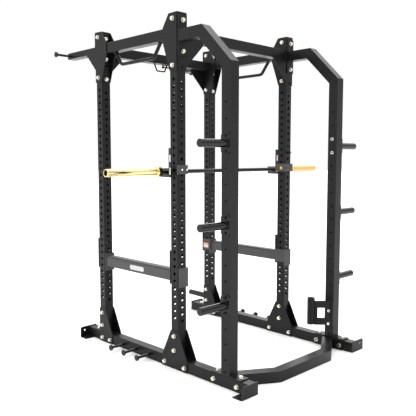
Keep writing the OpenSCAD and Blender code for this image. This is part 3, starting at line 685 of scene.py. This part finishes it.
def center_loop():
    """Thin hanging loop under the front cross beam."""
    low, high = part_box("center_loop")
    radius = (high.y - low.y) / 2
    y = (low.y + high.y) / 2
    top_half, bottom_half = 0.068, 0.041
    foot_z = high.z + 0.003
    grip_z = low.z + radius
    points = [
        (-top_half, y, foot_z), (-bottom_half, y, grip_z),
        (bottom_half, y, grip_z), (top_half, y, foot_z),
    ]
    welds = [
        weld_ring((x, y, high.z), radius * 1.2, radius * 1.05, 0.002, 32)
        for x in (-top_half, top_half)
    ]
    hung_bar("center_loop", points, 0.016, radius, 24, welds)


# ---------- barbell ----------

BORE = 0.01405
BAR_SIDES = 96
SLEEVE_RECESS = 0.022

# Outer end of a sleeve: distance back from the end, depth below the surface
SLEEVE_TIP = (
    (0.012, 0.0), (0.0115, 0.0008), (0.0095, 0.0008), (0.009, 0.0), (0.002, 0.0), (0.0006, 0.0008),
    (0.0, 0.002), (0.0, 0.004), (0.001, 0.005), (0.004, 0.005), (0.004, 0.003),
    (SLEEVE_RECESS, 0.003),
)


def bar_span(node):
    """Inner end, outer end and radius of a turned node on the bar."""
    low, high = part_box(node)
    start, end = sorted((abs(low.x), abs(high.x)))
    return start, end, (high.z - low.z) / 2


def turned(name, profile, side, sides=BAR_SIDES):
    """A turned shape round the bar's axis, from the middle towards one side."""
    return lathe(name, profile, (0, BAR_Y, BAR_Z), (SIDES[side], 0, 0), sides)


def bar_shaft():
    low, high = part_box("bar_shaft")
    r = (high.z - low.z) / 2
    end = high.x
    chamfer = 0.0015
    groove_r = r - 0.0006
    grooves = []
    for mark in (-RING_MARK, RING_MARK):
        grooves += [(mark - 0.003, r), (mark - 0.0025, groove_r)]
        grooves += [(mark + 0.0025, groove_r), (mark + 0.003, r)]
    profile = [
        (-end, 0), (-end, r - chamfer), (-end + chamfer, r), *grooves,
        (end - chamfer, r), (end, r - chamfer), (end, 0),
    ]
    name = "bar_shaft_finish"
    mesh = turned(name, profile, "far", 72)
    place(mesh, name, "barbell", MATERIALS["bar_black"], ["bar_shaft"])


def end_liner_profile(end, r):
    """Plastic cup in the recess of a sleeve's end."""
    deep, lip = end - SLEEVE_RECESS + 0.001, end - 0.0042
    wall, inside = r - 0.0032, r - 0.007
    return [
        (deep, 0.0), (deep, wall), (lip, wall), (lip, inside + 0.0005),
        (end - 0.009, inside), (deep + 0.004, inside), (deep + 0.003, 0.006), (deep + 0.003, 0.0),
    ]


def bar_sleeve(side):
    """Plated sleeve: turned tube with a fine end ring, and a plastic liner in its recessed end."""
    node = "bar_sleeve_" + side
    body = "sleeve_" + side
    start, end, r = bar_span(node)
    soft = 0.0015
    tip = [(end - back, r - depth) for back, depth in SLEEVE_TIP]
    profile = [
        (start, BORE), (start, r - soft), (start + soft, r), *tip,
        (end - SLEEVE_RECESS, BORE), (start, BORE),
    ]
    # The far sleeve takes the darker copy of the plating, as painted shade; the near one keeps the
    # real plating colour
    plating = MATERIALS["gold_sleeve"] if side == "near" else SHADED_FAR_GOLD
    place(turned("sleeve", profile, side), node + "_finish", body, plating, [node])
    liner = turned("liner", end_liner_profile(end, r), side, 72)
    place(liner, node + "_end_liner", body, MATERIALS["liner_black"])


def bar_collar(side):
    """Stepped black collar with a gold flange at the sleeve."""
    node = "bar_collar_" + side
    body = "sleeve_" + side
    start, end, r = bar_span(node)
    body_r = r - 0.0035
    groove_r = body_r - 0.0015
    flange = end - 0.005
    soft = 0.0012
    grooves = []
    for x in (start + 0.011, start + 0.022):
        grooves += [(x, body_r), (x + 0.001, groove_r), (x + 0.003, groove_r), (x + 0.004, body_r)]
    body_profile = [
        (start, BORE), (start, body_r - 0.006), (start + 0.003, body_r - 0.001),
        (start + 0.005, body_r), *grooves, (flange - 0.0005, body_r),
        (flange, body_r - 0.0005), (flange, BORE), (start, BORE),
    ]
    flange_profile = [
        (flange, BORE), (flange, r - soft), (flange + soft, r),
        (end - soft, r), (end, r - soft), (end, BORE), (flange, BORE),
    ]
    black = turned("collar", body_profile, side)
    place(black, node + "_finish", body, MATERIALS["cap_plastic"], [node])
    gold = turned("flange", flange_profile, side)
    place(gold, node + "_flange", body, MATERIALS["gold_sleeve"])


# ---------- welds ----------

WELD = 0.0025
FOOT_WELD = 0.003
KITE_REACH = 0.104
CORNER_PLATE_HALF = 0.031
POST_FOOT_HALF = 0.036
WELD_INSET = 0.006


def tube_faces(centre):
    return centre - TUBE_HALF, centre + TUBE_HALF


def side_beam_runs():
    """Along the side beams' edges, from each upright to the end of its kite plate."""
    low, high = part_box("side_beam_near")
    for x0 in UPRIGHT_X.values():
        for x in tube_faces(x0):
            for z in (low.z, high.z):
                yield (x, REAR_Y + TUBE_HALF, z), (x, REAR_Y + KITE_REACH, z), WELD
                yield (x, FRONT_Y - KITE_REACH, z), (x, FRONT_Y - TUBE_HALF, z), WELD


def cross_beam_runs():
    """Round the ends of the cross beams."""
    low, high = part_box("cross_beam_rear")
    bottom, top = low.z + WELD_INSET, high.z - WELD_INSET
    for y0 in (REAR_Y, FRONT_Y):
        for x in (low.x, high.x):
            for z in (low.z, high.z):
                yield (x, y0 - CORNER_PLATE_HALF, z), (x, y0 + CORNER_PLATE_HALF, z), WELD
            for y in tube_faces(y0):
                yield (x, y, bottom), (x, y, top), WELD


def post_foot_runs():
    """Where the storage posts stand on their base plates."""
    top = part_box("base_rail_near")[1].z + END_PLATE_T
    for x0 in UPRIGHT_X.values():
        for y in tube_faces(POST_Y):
            yield (x0 - POST_FOOT_HALF, y, top), (x0 + POST_FOOT_HALF, y, top), FOOT_WELD


def stub_runs():
    """Where the front stubs and their gussets meet the end plates."""
    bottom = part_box("front_stub_near")[0].z + WELD_INSET
    face = FRONT_Y + TUBE_HALF + PLATE_T + END_PLATE_T
    top = STUB_Z + STUB_H
    for x0 in UPRIGHT_X.values():
        for x in tube_faces(x0):
            inner = x + (PLATE_T if x < x0 else -PLATE_T)
            yield (inner, face, bottom), (inner, face, STUB_Z), WELD
        yield (x0 - CORNER_PLATE_HALF, face, top), (x0 + CORNER_PLATE_HALF, face, top), WELD


def frame_welds():
    """Weld beads where tubes meet plates."""
    runs = [*side_beam_runs(), *cross_beam_runs(), *post_foot_runs(), *stub_runs()]
    meshes = [bead("weld", *run, seed) for seed, run in enumerate(runs, 1)]
    whole = joined("frame_welds", meshes)
    place(whole, "frame_welds", "frame", MATERIALS["frame_black"])


def bead_ring(radius, size=0.0028, steps=8):
    """Quarter-round profile of a ring bead."""
    quarter = [math.pi / 2 * k / steps for k in range(steps + 1)]
    arc = [(size * (1 - math.sin(t)), radius + size * (1 - math.cos(t))) for t in quarter]
    return [(0.0, radius - 0.001), *reversed(arc), (size, radius - 0.001)]


def horn_welds():
    """Ring beads between the horns and their plates."""
    plate_face = TUBE_HALF + 2 * PLATE_T
    ring = bead_ring(0.0252)
    meshes = []
    for side, sign in SIDES.items():
        for z in HORN_Z:
            foot = (UPRIGHT_X[side] + sign * plate_face, POST_Y, z)
            meshes.append(lathe("weld", ring, foot, (sign, 0, 0), 48))
    front_foot = (FAR_X, FRONT_Y + plate_face, middle("front_horn").z)
    meshes.append(lathe("weld", ring, front_foot, (0, 1, 0), 48))
    whole = joined("horn_welds", meshes)
    place(whole, "horn_welds", "frame", MATERIALS["horn_black"])


# ---------- plugs and labels ----------


def stub_plugs():
    """Plastic plugs sunk in the open ends of the stubs."""
    depth = 0.005
    outline = rounded_outline(0.0688, 0.0438, 0.003)
    for side in SIDES:
        low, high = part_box("front_stub_" + side)
        centre = ((low.x + high.x) / 2, high.y - depth, STUB_Z + STUB_H / 2)
        mesh = slab("plug", outline, centre, (-1, 0, 0), (0, 0, 1), 0.003, crown=0.0015)
        place(mesh, f"stub_plug_{side}", "frame", PLUG_PLASTIC)


def holder_rim():
    """Thin plastic ring on the mouth of the bar holder."""
    mouth = (0.4375, POST_Y + 0.098, 0.380)
    profile = [
        (0.0, 0.0256), (0.0, 0.0284), (0.0015, 0.0284), (0.0022, 0.0276),
        (0.0022, 0.0262), (0.0015, 0.0256), (0.0, 0.0256),
    ]
    mesh = lathe("rim", profile, mouth, (0, 0, 1))
    place(mesh, "bar_holder_rim", "frame", PLUG_PLASTIC)


def surface_x(node, y, z, start, direction):
    """Where a line along X first meets a CAD node."""
    mesh = NODES[node].data
    corners = [v.co for v in mesh.vertices]
    tree = BVHTree.FromPolygons(corners, [p.vertices for p in mesh.polygons])
    hit = tree.ray_cast(Vector((start, y, z)), Vector((direction, 0, 0)))[0]
    return hit.x


def sticker(name, node, at, size, corner, material, start=0.0, rise=0.0004):
    """A blank film label at (y, z) on the face that a line along +X from start meets first."""
    y, z = at
    centre = (surface_x(node, y, z, start, 1), y, z)
    outline = rounded_outline(*size, corner)
    mesh = slab(name, outline, centre, (0, -1, 0), (0, 0, 1), rise)
    place(mesh, name, BODY_OF[node], material)


def labels():
    """Blank film labels in place of the printed ones."""
    tube = "safety_tube_near"
    low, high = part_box(tube)
    at = (0.1195, (low.z + high.z) / 2)
    outside = low.x - 0.1
    sticker(
        "safety_label_rim", tube, at, (0.178, 0.047), 0.020,
        LABEL_RIM, outside, 0.00025,
    )
    sticker(
        "safety_label", tube, at, (0.164, 0.034), 0.0145,
        LABEL_WHITE, outside, 0.0005,
    )
    arm = "safety_bracket_far"
    arm_y = FRONT_Y + 0.003
    sticker(
        "arm_label_amber", arm, (arm_y, 0.655), (0.060, 0.018), 0.002, LABEL_ORANGE,
    )
    sticker(
        "arm_label_white", arm, (arm_y, 0.634), (0.060, 0.024), 0.002, LABEL_WHITE,
    )
    cup_at = (REAR_Y - 0.004, 1.362)
    sticker(
        "cup_label", "cup_bracket_far", cup_at, (0.022, 0.022), 0.006, LABEL_AMBER,
    )


# ---------- stage, light and camera ----------


def stage():
    """A round pale floor, wide enough that no view shows its edge close by."""
    mesh = bpy.data.meshes.new("floor")
    reach, level, sides = 60.0, -0.0005, 128
    rim = [(reach * math.cos(t), reach * math.sin(t), level) for t in turns(sides)]
    mesh.from_pydata(rim, [], [tuple(range(sides))])
    floor = bpy.data.objects.new("floor", mesh)
    bpy.context.scene.collection.objects.link(floor)
    mesh.materials.append(studio_floor("studio_floor"))


def overhead_light():
    """A wide, soft source above the cage that leans away from the sides nearest the camera."""
    lamp = bpy.data.lights.new("overhead", "SUN")
    lamp.energy = 1.6
    lamp.angle = math.radians(100)
    obj = bpy.data.objects.new("overhead", lamp)
    shining = Vector((-0.25, -0.25, -1.0))
    obj.rotation_euler = shining.to_track_quat("-Z", "Y").to_euler()
    bpy.context.scene.collection.objects.link(obj)


# Lobes of the studio light: direction, cosines where the lobe begins and is full, strength
LIGHT_LOBES = (
    ((0, 0, 1), -2.0, -1.5, 0.96),  # all round
    ((1, 1, 0), 0.35, 0.8, 0.06),  # behind the cage
    ((0, 0, 1), 0.35, 0.9, 0.8),  # above
    ((-0.85, 0.5, 0.2), 0.80, 0.99, 0.6),  # near front corner
    ((0.7, 0.55, 0.55), 0.978, 0.992, 4.0),  # strip that rims the sleeves and the horns
)


def light_lobe(tree, direction, axis, start, end, gain):
    dot = tree.nodes.new("ShaderNodeVectorMath")
    dot.operation = "DOT_PRODUCT"
    tree.links.new(direction, dot.inputs[0])
    dot.inputs[1].default_value = Vector(axis).normalized()
    ramp = tree.nodes.new("ShaderNodeMapRange")
    ramp.interpolation_type = "SMOOTHSTEP"
    limits = {"From Min": start, "From Max": end, "To Min": 0.0, "To Max": gain}
    for key, value in limits.items():
        ramp.inputs[key].default_value = value
    tree.links.new(dot.outputs["Value"], ramp.inputs["Value"])
    return ramp.outputs["Result"]


def studio_world():
    """Soft studio light from all round, with brighter lobes that shape the edges."""
    world = bpy.data.worlds.new("studio")
    world.use_nodes = True
    tree = world.node_tree
    background = tree.nodes["Background"]
    direction = tree.nodes.new("ShaderNodeTexCoord").outputs["Generated"]
    lobes = [light_lobe(tree, direction, *lobe) for lobe in LIGHT_LOBES]
    total = lobes[0]
    for lobe in lobes[1:]:
        add = tree.nodes.new("ShaderNodeMath")
        tree.links.new(total, add.inputs[0])
        tree.links.new(lobe, add.inputs[1])
        total = add.outputs[0]
    tree.links.new(total, background.inputs["Strength"])
    background.inputs["Color"].default_value = (1.0, 1.0, 1.0, 1.0)
    bpy.context.scene.world = world
    bpy.context.scene.view_settings.view_transform = "Standard"


def camera():
    """The photograph's view, fitted to the straight edges of the frame."""
    data = bpy.data.cameras.new("camera")
    data.lens = 50.19
    data.sensor_width = 36.0
    data.clip_end = 200.0
    obj = bpy.data.objects.new("camera", data)
    obj.location = (-3.1725, -3.2215, 1.450)
    obj.rotation_euler = (math.radians(84.97), 0.0, math.radians(-44.65))
    bpy.context.scene.collection.objects.link(obj)
    bpy.context.scene.camera = obj


finish_cad_nodes()
side_grips()
center_loop()
bar_shaft()
for side_name in SIDES:
    bar_sleeve(side_name)
    bar_collar(side_name)
frame_welds()
horn_welds()
stub_plugs()
holder_rim()
labels()
stage()
overhead_light()
studio_world()
camera()
